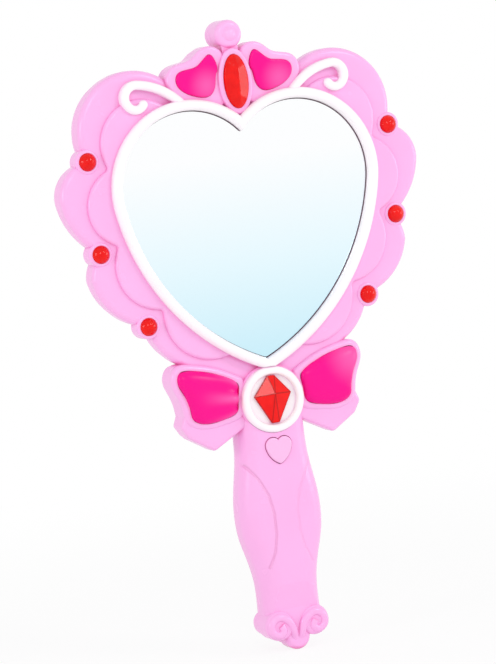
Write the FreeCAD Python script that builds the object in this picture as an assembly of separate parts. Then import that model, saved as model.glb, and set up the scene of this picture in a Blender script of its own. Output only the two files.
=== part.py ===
import FreeCAD, Part
import math
import os

from functools import cache

from FreeCAD import Vector

# Toy hand mirror: a heart-shaped looking glass in a scalloped two-shell case, with a crown, a bow
# and a grip that holds two cells, a heart button, a lamp behind the bow's gem and a speaker.
#
# Bench frame, in millimetres: x to the viewer's right, y along the grip towards the crown, z out of
# the looking glass. The two shells part at z = 0 and the origin is the middle of the grip. Every
# solid is turned upright at the end, so that the crown points to +Z and the glass faces -Y.

# Depths of the main faces and the thickness of the case
BACK = -10.4
PETAL_TOP = 6.0
TIER_TOP = 7.6
MIRROR_FACE = 7.0
BEZEL_TOP = 10.7
CROWN_TOP = 7.6
BOW_TOP = 7.6
TAIL_TOP = 6.8
GRIP_TOP = 9.0
WALL = 1.9
REAR_STEP = 0.8
PARTING_GAP = 0.05

# Heart of the looking glass: two lobe arcs and two flank arcs that meet at the tip
LOBE_X = 21.3
LOBE_Y = 124.3
LOBE_R = 28.1
FLANK_TURN = math.radians(-10)
TIP_Y = 57.8
BEZEL_WIDTH = 4.0
BEZEL_SKIRT = 1.6
MIRROR_LIP = 1.4
MIRROR_SEAT_GAP = 0.3
MIRROR_THICK = 1.5
PAD_THICK = 0.5
PAD_INSET = 4.0
SEAT_FLOOR = 1.4

# White scroll on each side of the crown: half its width, where its round top starts, where it leaves the
# bezel and its bends as (radius, turn in degrees)
SCROLL_R = 1.7
SCROLL_Z = 8.0
SCROLL_START = (22.5, 155.4)
SCROLL_HEADING = 47.7
SCROLL_BENDS = [(26.1, 41.6), (4.6, 156.0), (3.4, 90.0)]

# Scalloped rim, its raised inner scallops and the red gems on its bosses
TOP_PETAL = (40.2, 147.0)
TOP_PETAL_R = 22.3
NOTCH_ROUND = 1.5
RIM_ROUND = 2.4
RIM_WALL = 2.2
RIM_FLOOR = -6.6
DEEP_WALL = 5.0
BACK_ROUND = 7.0
BACK_SOFT = 8.0
TIER_ROUND = 1.4
TIER_SOFT = 3.0
GEM_PLACES = {"upper": (60.6, 138.2), "middle": (59.7, 104.3), "lower": (44.6, 75.7)}
BOSS_R = 4.6
BOSS_TOP = 6.5
BOSS_ROUND = 1.0
GEM_SEAT = 0.6
RIM_GEM_R = 3.3
RIM_GEM_RISE = 2.3
GEM_PIN_R = 1.2
GEM_PIN_LOW = 3.2
GEM_FIT = 0.06

# Crown, its hearts, its oval gem and the knob on top of it
CROWN_GEM_Y = 161.0
CROWN_GEM_HALF = (4.9, 10.0)
CROWN_GEM_LOW = 6.4
CROWN_GEM_RISE = 2.0
COLLAR_HALF = (6.7, 12.2)
COLLAR_TOP = 8.8
CROWN_BACK = -4.5
CROWN_HEART_TOP = 8.5
INLAY_DEPTH = 2.0
INLAY_FIT = 0.1
WEB_HALF = 9.0
WEB_ENDS = (144.0, 168.0)
WEB_TOP = 6.4
CROWN_ROUND = 1.2
COLLAR_ROUND = 0.8
HEART_INLAY_ROUND = 0.9
KNOB_Y = 178.5
KNOB_R = 5.3
KNOB_FRONT = 7.6
KNOB_BACK = -6.0
KNOB_FRONT_ROUND = 2.0
KNOB_BACK_ROUND = 3.0
KNOB_NECK_HALF = 3.2
KNOB_CAP_R = 3.1
KNOB_CAP_RISE = 1.6

# Bow, its ring and the kite gem
BOW_BACK = -5.5
BOW_ROUND = 1.6
BOW_BACK_ROUND = 1.2
TAIL_CORNER = 1.8
TAIL_BACK_CORNER = 1.5
TAIL_ROUND = 1.4
KNOT_R = 13.0
BOW_INLAY_TOP = 9.6
BOW_INLAY_ROUND = 1.5
RING_Y = 42.4
RING_R = 12.4
RING_BORE = 9.4
RING_TOP = 10.4
RING_ROUND = 1.45
RING_BORE_ROUND = 1.3
RING_FIT = 0.1
DISH_TOP = 8.4
SPIGOT_R = 8.6
SPIGOT_LOW = 5.2
KITE_GIRDLE = 9.2
KITE_APEX = (0.0, 44.7, 11.8)
KITE_CORNERS = [(-1.4, 51.3), (-7.4, 44.2), (-1.5, 33.6), (1.5, 33.6), (7.4, 44.2), (1.4, 51.3)]

# Grip and its foot
GRIP_HIGH = 52.0
GRIP_FRONT_HIGH = 38.0
GRIP_LOW = -40.0
GRIP_TAIL = -48.0
GRIP_ROOM_LOW = -34.1
DIP_ENDS = (-27.0, -40.0)
DIP_LOW = 6.8
GRIP_ROUND = 7.0
GRIP_BACK_ROUND = 7.2
VOLUTE = (7.2, -42.4)
VOLUTE_R = 5.7
VOLUTE_TOP = 8.4
FOOT_LOBE_Y = -47.6
FOOT_LOBE_R = 5.0
TONGUE_HALF_FRONT = 8.0
TONGUE_HALF_REAR = 7.4
TONGUE_HIGH = -34.0
FOOT_TOP = 7.4
FOOT_BACK = -8.4
FOOT_ROUND = 1.8
FOOT_BACK_ROUND = 2.5

# Button, switch, board and lamp
BUTTON_Y = 23.2
BUTTON_SCALE = 0.107
BUTTON_TOP = 9.9
BUTTON_ROUND = 0.7
BUTTON_GAP = 0.25
FLANGE = 0.8
FLANGE_TOP = 6.95
FLANGE_THICK = 0.7
BUTTON_POST_R = 2.2
BOARD_LOW = 2.9
BOARD_TOP = 3.9
BOARD_HALF = 7.6
BOARD_ENDS = (11.0, 49.0)
BOARD_PIN = (5.6, 34.5)
BOARD_PIN_R = 1.0
BOARD_PIN_END = 0.3
BOARD_POST_R = 2.0
BOARD_FIT = 0.02
PASSAGE = (28.5, 66.0)
PASSAGE_HALF = 9.5
SWITCH_HALF = 3.0
SWITCH_TOP = 5.3
SWITCH_CORNER = 0.6
SWITCH_FLOOR = 0.3
PLUNGER_R = 1.6
PLUNGER_LOW = 5.15
PLUNGER_TOP = 6.2
PLUNGER_ROUND = 0.3
PLUNGER_FIT = 0.05
CHIP_Y = 15.0
CHIP_R = 3.0
CHIP_RISE = 1.1
LAMP_R = 2.5
LAMP_TOP = 8.0
LAMP_FLANGE_R = 2.9
LAMP_FLANGE = 1.0
LAMP_ROOM = 0.3

# Cells, their tray, their door and its screw
CELL_R = 5.25
CELL_LENGTH = 44.5
CELL_ROUND = 0.5
CELL_NUB_R = 1.9
CELL_NUB = 1.0
CELL_X = 5.33
CELL_Z = -3.6
CELL_LOW = -13.5
CELL_ROOM = 0.25
CONTACT_ROOM = 3.2
CONTACT_THICK = 0.4
CONTACT_HALF = 3.4
CONTACT_REACH = 3.0
TONGUE_HALF = 2.8
TONGUE_WIDTH = 3.0
TAB_Z = -1.0
TAB_END = 35.4
TAB_HALF_WIDTH = 0.8
TAB_HALF_THICK = 0.3
TAB_ROOT = 0.2
TAB_FIT = 0.05
TRAY_ROOF = (1.85, 2.55)
TRAY_LOW = -7.2
TRAY_HALF = 9.0
TRAY_WALL = 0.8
DOOR_ENDS = (-26.0, 33.5)
DOOR_SPLIT = -6.0
DOOR_GAP = 0.2
CAVITY_BACK = -8.8
DOOR_SCREW_Y = -21.8
DOOR_SEAT = -8.5
DOOR_BOSS_TOP = -6.9

# Speaker in the head
SPEAKER_Y = 100.0
SPEAKER_R = 14.0
SPEAKER_BACK = -8.6
BASKET_TOP = -5.4
BASKET_WALL = 1.4
BASKET_FLOOR = 0.8
BASKET_HOLE_R = 3.0
CONE_R = 12.4
CONE_NECK_R = 4.0
CONE_DEEP = 1.6
CONE_SHEET = 0.4
DISH_STEP = 0.6
CAP_BALL_R = 5.0
CAP_R = 3.6
CAP_LOW = -8.0
CAP_HIGH = -6.7
MAGNET_R = 8.0
MAGNET_TOP = -1.4
MAGNET_ROUND = 0.6
COLLAR_RING = (14.3, 15.5)
GRILLE_PITCH = 4.2
GRILLE_HOLE_R = 1.1
GRILLE_ROWS = 2

# Screws, their posts in the front shell and their towers in the rear shell
CASE_SCREWS = [(-47.0, 150.0), (47.0, 150.0), (-62.0, 122.0), (62.0, 122.0), (-33.0, 70.0), (33.0, 70.0)]
FOOT_SCREW = (0.0, -33.6)
SCREW_R = 1.25
SCREW_FIT = 0.03
SCREW_HEAD_R = 2.5
SCREW_HEAD = 1.6
SCREW_SEAT = -5.0
SCREW_END = 3.4
SCREW_HEAD_ROUND = 0.5
SLOT_WIDTH = 0.7
SLOT_DEPTH = 0.8
SLOT_REACH = 1.5
DOOR_SCREW_END = -2.0
POST_R = 2.9
POST_ROOT = 0.6
TOWER_R = 3.9
HEAD_WELL_R = 2.9
SHANK_HOLE_R = 1.6

# Leads
LEAD_R = 0.6

FAR = 400.0


def at(x, y, z=0.0):
    """Point of the bench frame."""
    return Vector(x, y, z)


def outline(start, *steps):
    """Flat face at z = 0. A step is the next corner, or a (through, end) pair for an arc."""
    edges = []
    here = start
    for step in steps + (start,):
        curved = isinstance(step[0], tuple)
        end = step[1] if curved else step
        if curved:
            edges.append(Part.Arc(at(*here), at(*step[0]), at(*end)).toShape())
        elif end != here:
            edges.append(Part.makeLine(at(*here), at(*end)))
        here = end
    return Part.Face(Part.Wire(edges))


def smooth(points):
    """Flat face inside one closed smooth curve."""
    curve = Part.BSplineCurve()
    curve.interpolate(Points=[at(*point) for point in points], PeriodicFlag=True)
    return Part.Face(Part.Wire(curve.toShape()))


def disc(a, b, c):
    """Flat round face whose rim passes through three points."""
    return Part.Face(Part.Wire(Part.Circle(at(*a), at(*b), at(*c)).toShape()))


def grown(face, by):
    """Flat face moved out all round, or drawn in."""
    return face.makeOffset2D(by)


def resized(face, by):
    """Flat face scaled about its middle, so that its rim moves out by about the same amount all round."""
    bounds = face.BoundBox
    factor = 1 + 4 * by / (bounds.XLength + bounds.YLength)
    return face.translated(-bounds.Center).scaled(factor).translated(bounds.Center)


def mirrored(shape):
    """The same shape on the other side of x = 0."""
    return shape.mirror(Vector(), Vector(1, 0, 0))


def pair(shape):
    """A shape and its mirror image."""
    return [shape, mirrored(shape)]


def slab(face, low, high):
    """Solid between two depths on a flat face."""
    return face.translated(Vector(0, 0, low)).extrude(Vector(0, 0, high - low))


def box(x0, x1, y0, y1, z0, z1):
    """Block between two corners."""
    return Part.makeBox(x1 - x0, y1 - y0, z1 - z0, at(x0, y0, z0))


def rod(x, y, radius, low, high):
    """Round bar along z."""
    return Part.makeCylinder(radius, high - low, at(x, y, low))


def bar(x, z, radius, low, high):
    """Round bar along the grip."""
    return Part.makeCylinder(radius, high - low, at(x, low, z), Vector(0, 1, 0))


def rounded(solid, level, radius, curved_only=False):
    """Solid with its edges at one depth rounded."""
    edges = []
    for edge in solid.Edges:
        bounds = edge.BoundBox
        flat = abs(bounds.ZMin - level) < 0.001 and abs(bounds.ZMax - level) < 0.001
        if flat and not (curved_only and edge.Curve.TypeId == "Part::GeomLine"):
            edges.append(edge)
    return solid.makeFillet(radius, edges)


def soft_corners(solid, radius):
    """Solid with its upright edges rounded."""
    return solid.makeFillet(radius, [edge for edge in solid.Edges if edge.BoundBox.ZLength > 0.5])


def one_solid(shape):
    """The only solid of a shape: any other count means that a piece has come apart."""
    if len(shape.Solids) != 1:
        raise ValueError(f"{len(shape.Solids)} solids where there is one piece")
    return shape.Solids[0]


def joined(solids):
    """One solid out of several that overlap."""
    return one_solid(solids[0].multiFuse(solids[1:]))


def carved(solid, cuts):
    """One solid with several others taken out of it."""
    return one_solid(solid.cut(cuts))


def oval(half, y):
    """Oval face on the centre line, taller than it is wide."""
    curve = Part.Ellipse(at(0, y + half[1]), at(half[0], y), at(0, y))
    return Part.Face(Part.Wire(curve.toShape()))


def dome(x, y, radius, low, rise):
    """Cap of a ball on a round foot."""
    ball_r = (radius ** 2 + rise ** 2) / (2 * rise)
    ball = Part.makeSphere(ball_r, at(x, y, low + rise - ball_r))
    return ball.common(rod(x, y, radius, low, FAR))


def flank():
    """Centre and radius of the right flank arc of the heart."""
    out_x = math.cos(FLANK_TURN)
    out_y = math.sin(FLANK_TURN)
    reach_x = LOBE_X + LOBE_R * out_x
    reach_y = LOBE_Y + LOBE_R * out_y - TIP_Y
    radius = (reach_x ** 2 + reach_y ** 2) / (2 * (reach_x * out_x + reach_y * out_y))
    return reach_x - radius * out_x, reach_y + TIP_Y - radius * out_y, radius


def heart(grow=0.0):
    """Heart of the looking glass, grown all round."""
    flank_x, flank_y, flank_r = flank()
    lobe_r = LOBE_R + grow
    flank_r += grow
    notch = (0.0, LOBE_Y + math.sqrt(lobe_r ** 2 - LOBE_X ** 2))
    tip = (0.0, flank_y - math.sqrt(flank_r ** 2 - flank_x ** 2))
    shoulder = (LOBE_X + lobe_r * math.cos(FLANK_TURN), LOBE_Y + lobe_r * math.sin(FLANK_TURN))
    half_way = math.radians(-35)
    side = (flank_x + flank_r * math.cos(half_way), flank_y + flank_r * math.sin(half_way))
    top = (LOBE_X, LOBE_Y + lobe_r)

    def flip(point):
        return (-point[0], point[1])

    return outline(
        notch, (top, shoulder), (side, tip), (flip(side), flip(shoulder)), (flip(top), notch)
    )


def button_heart(grow=0.0):
    """Heart of the button: the glass's heart made small."""
    face = heart()
    face = face.translated(-face.BoundBox.Center).scaled(BUTTON_SCALE).translated(at(0, BUTTON_Y))
    return grown(face, grow) if grow else face


def rim_petals():
    """The three upper scallops of the right side, each closed behind the glass."""
    top = Part.Face(Part.Wire(Part.Circle(at(*TOP_PETAL), Vector(0, 0, 1), TOP_PETAL_R).toShape()))
    middle = outline(
        (61.0, 138.5),
        ((69.2, 133.6), (72.1, 125.0)),
        ((68.9, 114.6), (59.7, 104.3)),
        (42.0, 104.3),
        (42.0, 138.5),
    )
    low = outline(
        (59.7, 104.3),
        ((62.6, 99.6), (63.6, 94.5)),
        ((58.4, 83.6), (44.6, 75.7)),
        (28.0, 84.0),
        (44.0, 112.0),
    )
    return [top, middle, low]


def rim_neck():
    """Both lowest scallops in one, closed behind the bow."""
    return outline(
        (-36.0, 90.0),
        (36.0, 90.0),
        (44.6, 75.7),
        ((40.9, 66.6), (33.5, 60.0)),
        (20.0, 47.0),
        (-20.0, 47.0),
        (-33.5, 60.0),
        ((-40.9, 66.6), (-44.6, 75.7)),
    )


def merged(faces, inside):
    """One flat face out of several that overlap, with its inside corners rounded."""
    slabs = [slab(face, 0, 1) for face in faces]
    whole = one_solid(slabs[0].multiFuse(slabs[1:]).removeSplitter())
    top = max(whole.Faces, key=lambda face: face.BoundBox.ZMin).translated(Vector(0, 0, -1))
    return grown(grown(top, inside), -inside)


@cache
def head_face():
    """Outline of the whole scalloped head, with the notches between its scallops softened."""
    faces = [heart(1.0), rim_neck()]
    for face in rim_petals():
        faces += pair(face)
    return merged(faces, NOTCH_ROUND)


def rear_face():
    """Outline of the head's rear: a step smaller than the front and soft at every corner."""
    core = grown(head_face(), -REAR_STEP - BACK_SOFT)
    return grown(grown(core, BACK_SOFT + NOTCH_ROUND), -NOTCH_ROUND)


def tier_face():
    """Outline of the raised inner scallops, with the ground that carries the bezel."""
    faces = [heart(BEZEL_WIDTH - 0.2), outline((-22.0, 61.2), (22.0, 61.2), (22.0, 80.0), (-22.0, 80.0))]
    for face in inner_petals():
        faces += pair(face)
    whole = merged(faces, NOTCH_ROUND)
    return grown(grown(whole, -TIER_SOFT), TIER_SOFT)


def inner_petals():
    """Right inner scallops: the crescents that they show lie between the bezel and the rim."""
    return [
        disc((45.5, 157.2), (54.2, 147.5), (53.0, 134.5)),
        disc((53.0, 134.5), (62.7, 121.5), (52.6, 106.5)),
        disc((52.6, 106.5), (53.4, 91.6), (38.2, 81.2)),
        disc((38.2, 81.2), (35.0, 68.0), (24.0, 60.6)),
    ]


def crown_heart():
    """Right heart of the crown, cut off below by the glass's bezel."""
    return smooth([
        (6.8, 165.0), (7.1, 169.7), (9.0, 171.8), (11.5, 170.4), (15.0, 167.8), (19.5, 167.1),
        (22.7, 165.6), (23.2, 162.6), (20.4, 159.0), (15.6, 156.9), (11.0, 156.6), (8.3, 159.4),
    ])


def crown_lobe():
    """Pink ground round the right heart of the crown, as far as the gem and down behind the bezel."""
    return smooth([
        (3.2, 171.0), (5.6, 174.0), (9.0, 174.9), (13.2, 173.3), (15.9, 171.1), (19.6, 169.9), (24.4, 168.5),
        (26.8, 164.4), (25.4, 159.0), (21.0, 154.6), (14.0, 151.8), (7.0, 151.5), (3.2, 156.0), (2.6, 164.0),
    ])


def bow_ground():
    """Pink ground round the right loop of the bow."""
    return smooth([
        (11.0, 52.4), (20.2, 57.0), (30.0, 59.6), (36.4, 59.3), (38.7, 54.4), (36.6, 47.8), (35.2, 43.0),
        (34.0, 37.9), (28.2, 34.9), (19.6, 35.3), (11.6, 38.0), (10.4, 45.0),
    ])


def bow_loop():
    """Right magenta loop of the bow."""
    return smooth([
        (13.4, 50.6), (21.0, 54.8), (30.0, 57.3), (35.4, 57.0), (36.4, 53.2), (34.2, 48.2),
        (32.8, 43.6), (31.9, 39.3), (27.5, 37.1), (20.0, 37.6), (14.2, 39.8), (13.2, 45.0),
    ])


def bow_tail():
    """Right pink tail of the bow, below its loop."""
    corners = [(34.0, 43.0), (36.5, 36.6), (33.8, 32.2), (24.3, 26.3), (10.5, 33.8), (4.0, 34.0)]
    return outline((4.0, 41.0), *corners)


def grip_face(drawn_in=0.0, low=GRIP_LOW, high=GRIP_HIGH):
    """Outline of the grip: waisted below the bow and above the foot, fullest where the palm goes."""
    profile = [
        (13.3, GRIP_HIGH), (13.3, 31.0), (13.8, 19.5), (15.4, 10.0), (16.4, 0.5), (15.6, -9.8),
        (13.0, -19.5), (11.6, -27.0), (11.4, -36.0), (11.4, GRIP_TAIL),
    ]
    curve = Part.BSplineCurve()
    curve.interpolate([at(x - drawn_in, y) for x, y in profile])
    right = curve.toShape()
    top_x = profile[0][0] - drawn_in
    end_x = profile[-1][0] - drawn_in
    top = Part.makeLine(at(-top_x, GRIP_HIGH), at(top_x, GRIP_HIGH))
    end = Part.makeLine(at(end_x, GRIP_TAIL), at(-end_x, GRIP_TAIL))
    face = Part.Face(Part.Wire(Part.__sortEdges__([top, right, end, mirrored(right)])))
    return face.common(outline((-FAR, low), (FAR, low), (FAR, high), (-FAR, high))).Faces[0]


def above_foot():
    """Block that cuts the grip off square where the foot takes over."""
    return box(-FAR, FAR, GRIP_LOW, FAR, -FAR, FAR)


def knob():
    """Round knob on top of the crown, before it is parted."""
    body = rounded(rod(0, KNOB_Y, KNOB_R, KNOB_BACK, KNOB_FRONT), KNOB_FRONT, KNOB_FRONT_ROUND)
    body = rounded(body, KNOB_BACK, KNOB_BACK_ROUND)
    return joined([body, dome(0, KNOB_Y, KNOB_CAP_R, KNOB_FRONT - 0.5, KNOB_CAP_RISE)])


def crown_web(low, high):
    """Ground behind the gem's collar, and the neck from there up to the knob."""
    neck = box(-KNOB_NECK_HALF, KNOB_NECK_HALF, WEB_ENDS[1] - 1, KNOB_Y, low, high)
    return [box(-WEB_HALF, WEB_HALF, *WEB_ENDS, low, high), neck]


def crown_front():
    """Front of the crown: a border round each heart, the gem's collar and the knob."""
    lobes = rounded(slab(crown_lobe(), 0, CROWN_TOP), CROWN_TOP, CROWN_ROUND)
    collar = rounded(slab(oval(COLLAR_HALF, CROWN_GEM_Y), 0, COLLAR_TOP), COLLAR_TOP, COLLAR_ROUND)
    front = box(-FAR, FAR, 0, FAR, 0, FAR)
    return pair(lobes) + [collar, knob().common(front)] + crown_web(0, WEB_TOP)


def crown_rear():
    """Rear of the crown, a little smaller than its front."""
    lobes = slab(resized(crown_lobe(), -REAR_STEP), CROWN_BACK, 0)
    collar_half = (COLLAR_HALF[0] - REAR_STEP, COLLAR_HALF[1] - REAR_STEP)
    collar = slab(oval(collar_half, CROWN_GEM_Y), CROWN_BACK, 0)
    lobes = rounded(lobes, CROWN_BACK, CROWN_ROUND)
    back = box(-FAR, FAR, 0, FAR, -FAR, 0)
    return pair(lobes) + [collar, knob().common(back)] + crown_web(CROWN_BACK, 0)


def bow_front():
    """Front of the bow: a border round each loop, and the tails."""
    loops = rounded(slab(bow_ground(), 0, BOW_TOP), BOW_TOP, BOW_ROUND)
    tails = rounded(soft_corners(slab(bow_tail(), 0, TAIL_TOP), TAIL_CORNER), TAIL_TOP, TAIL_ROUND)
    knot = rod(0, RING_Y, KNOT_R, 0, TIER_TOP)
    return pair(loops) + pair(tails) + [knot]


def bow_rear():
    """Rear of the bow, a little smaller than its front."""
    loops = rounded(slab(resized(bow_ground(), -REAR_STEP), BOW_BACK, 0), BOW_BACK, BOW_BACK_ROUND)
    tails = soft_corners(slab(grown(bow_tail(), -REAR_STEP), BOW_BACK, 0), TAIL_BACK_CORNER)
    return pair(loops) + pair(rounded(tails, BOW_BACK, BOW_BACK_ROUND))


def foot_tongue(half):
    """Outline of the tongue that narrows from the grip down to the lobe."""
    return outline((-half, TONGUE_HIGH), (0.0, FOOT_LOBE_Y), (half, TONGUE_HIGH))


def foot_front():
    """Front of the two volutes, the lobe between them and the tongue that runs down to it."""
    volute = rounded(rod(*VOLUTE, VOLUTE_R, 0, VOLUTE_TOP), VOLUTE_TOP, FOOT_ROUND)
    lobe = rounded(rod(0, FOOT_LOBE_Y, FOOT_LOBE_R, 0, FOOT_TOP), FOOT_TOP, FOOT_ROUND)
    return pair(volute) + [lobe, slab(foot_tongue(TONGUE_HALF_FRONT), 0, FOOT_TOP)]


def foot_rear():
    """Rear of the foot."""
    volute = rod(*VOLUTE, VOLUTE_R - REAR_STEP, FOOT_BACK, 0)
    lobe = rod(0, FOOT_LOBE_Y, FOOT_LOBE_R - REAR_STEP, FOOT_BACK, 0)
    tongue = slab(foot_tongue(TONGUE_HALF_REAR), FOOT_BACK, 0)
    volute = rounded(volute, FOOT_BACK, FOOT_BACK_ROUND)
    return pair(volute) + [rounded(lobe, FOOT_BACK, FOOT_BACK_ROUND), tongue]


def grip_front():
    """Front of the grip, which dips towards the foot."""
    long = slab(grip_face(low=GRIP_TAIL, high=GRIP_FRONT_HIGH), 0, GRIP_TOP)
    solid = rounded(long, GRIP_TOP, GRIP_ROUND, curved_only=True).common(above_foot())
    start_y, end_y = DIP_ENDS
    dip = Part.Face(Part.makePolygon([
        at(-FAR, start_y, GRIP_TOP), at(-FAR, start_y, FAR), at(-FAR, end_y, FAR), at(-FAR, end_y, DIP_LOW),
        at(-FAR, start_y, GRIP_TOP),
    ]))
    return solid.cut(dip.extrude(Vector(2 * FAR, 0, 0)))


def grip_rear():
    """Rear of the grip, flat behind, before the cell door is cut out of it."""
    long = slab(grip_face(REAR_STEP, low=GRIP_TAIL), BACK, 0)
    return rounded(long, BACK, GRIP_BACK_ROUND, curved_only=True).common(above_foot())


def grip_room():
    """Space inside the grip behind the parting plane, with round troughs for the cells."""
    face = grip_face(REAR_STEP + WALL, GRIP_ROOM_LOW)
    room = rounded(slab(face, CAVITY_BACK, 0), CAVITY_BACK, GRIP_BACK_ROUND - WALL, curved_only=True)
    ends = (CELL_LOW - CONTACT_ROOM, CELL_LOW + CELL_LENGTH + CONTACT_ROOM)
    troughs = [bar(side * CELL_X, CELL_Z, CELL_R + CELL_ROOM, *ends) for side in (-1, 1)]
    return joined([room] + troughs)


def door_room(gap):
    """Block that the cell door is cut out with."""
    return box(-30, 30, DOOR_ENDS[0] - gap, DOOR_ENDS[1] + gap, -FAR, DOOR_SPLIT + gap)


def screw_posts():
    """Posts under the front shell for the case screws and the door screw."""
    posts = [rod(x, y, POST_R, PARTING_GAP, PETAL_TOP - POST_ROOT) for x, y in CASE_SCREWS]
    posts.append(rod(*FOOT_SCREW, POST_R, PARTING_GAP, DIP_LOW - POST_ROOT))
    posts.append(rod(0, DOOR_SCREW_Y, POST_R, DOOR_BOSS_TOP + DOOR_GAP / 2, GRIP_TOP - POST_ROOT))
    for side in (-1, 1):
        x, y = side * BOARD_PIN[0], BOARD_PIN[1]
        posts.append(rod(x, y, BOARD_POST_R, BOARD_TOP + BOARD_FIT, BOW_TOP - POST_ROOT))
        posts.append(rod(x, y, BOARD_PIN_R, BOARD_LOW - BOARD_PIN_END, BOW_TOP - POST_ROOT))
    return posts


def front_shell():
    """Front half of the case, with the seats of its trim, button, board and screws."""
    solids = [rounded(slab(head_face(), 0, PETAL_TOP), PETAL_TOP, RIM_ROUND)]
    solids.append(rounded(slab(tier_face(), 1, TIER_TOP), TIER_TOP, TIER_ROUND))
    for place in GEM_PLACES.values():
        solids += pair(rounded(rod(*place, BOSS_R, 0, BOSS_TOP), BOSS_TOP, BOSS_ROUND))
    case = joined(solids + crown_front() + bow_front() + [grip_front()] + foot_front())

    hollow = [slab(grown(head_face(), -RIM_WALL), 0, MIRROR_FACE - MIRROR_THICK - PAD_THICK - SEAT_FLOOR)]
    grip_inside = slab(grip_face(WALL, GRIP_ROOM_LOW, PASSAGE[0] + 1), 0, GRIP_TOP - WALL)
    hollow.append(rounded(grip_inside, GRIP_TOP - WALL, GRIP_ROUND - WALL, curved_only=True))
    hollow.append(box(-PASSAGE_HALF, PASSAGE_HALF, *PASSAGE, 0, BOARD_TOP + 0.7))
    for face in (crown_heart(), bow_loop()):
        hollow += pair(slab(face, 0, CROWN_TOP - INLAY_DEPTH - WALL))
    case = carved(case, hollow)
    case = joined([case] + screw_posts())

    seats = [slab(heart(MIRROR_LIP + MIRROR_SEAT_GAP), MIRROR_FACE - MIRROR_THICK - PAD_THICK, FAR)]
    seats.append(rod(0, RING_Y, RING_R + RING_FIT, TIER_TOP, FAR))
    seats.append(rod(0, RING_Y, SPIGOT_R + RING_FIT, 0, FAR))
    seats.append(slab(button_heart(BUTTON_GAP), 5, FAR))
    for face, floor in ((crown_heart(), CROWN_TOP - INLAY_DEPTH), (bow_loop(), BOW_TOP - INLAY_DEPTH)):
        seats += pair(slab(resized(face, INLAY_FIT), floor, FAR))
    seats.append(slab(oval([half + INLAY_FIT for half in CROWN_GEM_HALF], CROWN_GEM_Y), CROWN_GEM_LOW, FAR))
    for place in GEM_PLACES.values():
        seats += pair(rod(*place, RIM_GEM_R + GEM_FIT, BOSS_TOP - GEM_SEAT, FAR))
        seats += pair(rod(*place, GEM_PIN_R + GEM_FIT, GEM_PIN_LOW - 0.1, FAR))
    for x, y in CASE_SCREWS + [FOOT_SCREW]:
        seats.append(rod(x, y, SCREW_R + SCREW_FIT, 0, SCREW_END + 0.3))
    seats.append(rod(0, DOOR_SCREW_Y, SCREW_R + SCREW_FIT, DOOR_BOSS_TOP, SCREW_END))
    return carved(case, seats)


def rear_shell():
    """Rear half of the case, with the speaker's grille, the screw towers and the cell opening."""
    head = rounded(slab(rear_face(), BACK, 0), BACK, BACK_ROUND)
    case = joined([head] + crown_rear() + bow_rear() + [grip_rear()] + foot_rear())
    hollow = [slab(grown(rear_face(), -RIM_WALL), RIM_FLOOR, 0)]
    deep = slab(heart(-1.0), SPEAKER_BACK, 0).common(slab(grown(rear_face(), -DEEP_WALL), SPEAKER_BACK, 0))
    hollow += [deep, grip_room()]
    hollow.append(box(-PASSAGE_HALF, PASSAGE_HALF, GRIP_HIGH - 6, PASSAGE[1], CAVITY_BACK + 0.4, 0))
    for face in (crown_heart(), bow_loop()):
        hollow += pair(slab(resized(face, -REAR_STEP), CROWN_BACK + WALL, 0))
    case = carved(case, hollow)

    towers = [rod(x, y, TOWER_R, BACK + 0.5, -PARTING_GAP) for x, y in CASE_SCREWS + [FOOT_SCREW]]
    cup = rod(0, SPEAKER_Y, COLLAR_RING[1], SPEAKER_BACK - 0.5, BASKET_TOP)
    case = joined([case, cup] + towers)
    cuts = [rod(0, SPEAKER_Y, COLLAR_RING[0], SPEAKER_BACK, FAR)]
    for x, y in CASE_SCREWS + [FOOT_SCREW]:
        cuts.append(rod(x, y, HEAD_WELL_R, -FAR, SCREW_SEAT))
        cuts.append(rod(x, y, SHANK_HOLE_R, -FAR, FAR))
    for row in range(-GRILLE_ROWS, GRILLE_ROWS + 1):
        count = 2 * GRILLE_ROWS + 1 - abs(row)
        for place in range(count):
            x = (place - (count - 1) / 2) * GRILLE_PITCH
            y = SPEAKER_Y + row * GRILLE_PITCH * math.sin(math.radians(60))
            cuts.append(rod(x, y, GRILLE_HOLE_R, -FAR, SPEAKER_BACK + 1))
    cuts.append(door_room(DOOR_GAP))
    return carved(case, cuts)


def mirror_bezel(case):
    """White heart-shaped frame with a half-round front, and the scroll that leaves it on each side."""
    top = BEZEL_TOP - BEZEL_WIDTH / 2
    skirt_low = MIRROR_FACE + 0.1

    def section(centre_x, centre_y, radius):
        def spot(out, depth):
            turn = FLANK_TURN
            reach = radius + out
            return at(centre_x + reach * math.cos(turn), centre_y + reach * math.sin(turn), depth)

        corners = [(0, top), (0, skirt_low), (BEZEL_SKIRT, skirt_low), (BEZEL_SKIRT, TIER_TOP),
                   (BEZEL_WIDTH, TIER_TOP), (BEZEL_WIDTH, top)]
        edges = [Part.makeLine(spot(*a), spot(*b)) for a, b in zip(corners, corners[1:])]
        crest = spot(BEZEL_WIDTH / 2, BEZEL_TOP)
        edges.append(Part.Arc(spot(BEZEL_WIDTH, top), crest, spot(0, top)).toShape())
        return Part.Face(Part.Wire(edges))

    flank_x, flank_y, flank_r = flank()
    lobe = section(LOBE_X, LOBE_Y, LOBE_R).revolve(at(LOBE_X, LOBE_Y), Vector(0, 0, 1), 165)
    side = section(flank_x, flank_y, flank_r).revolve(at(flank_x, flank_y), Vector(0, 0, -1), 70)
    right = lobe.fuse(side).common(box(0, FAR, 0, FAR, 0, FAR))
    frame = joined(pair(right) + pair(scroll()))
    return carved(frame, [case, rod(0, RING_Y, RING_R + RING_FIT, 0, FAR)])


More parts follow.
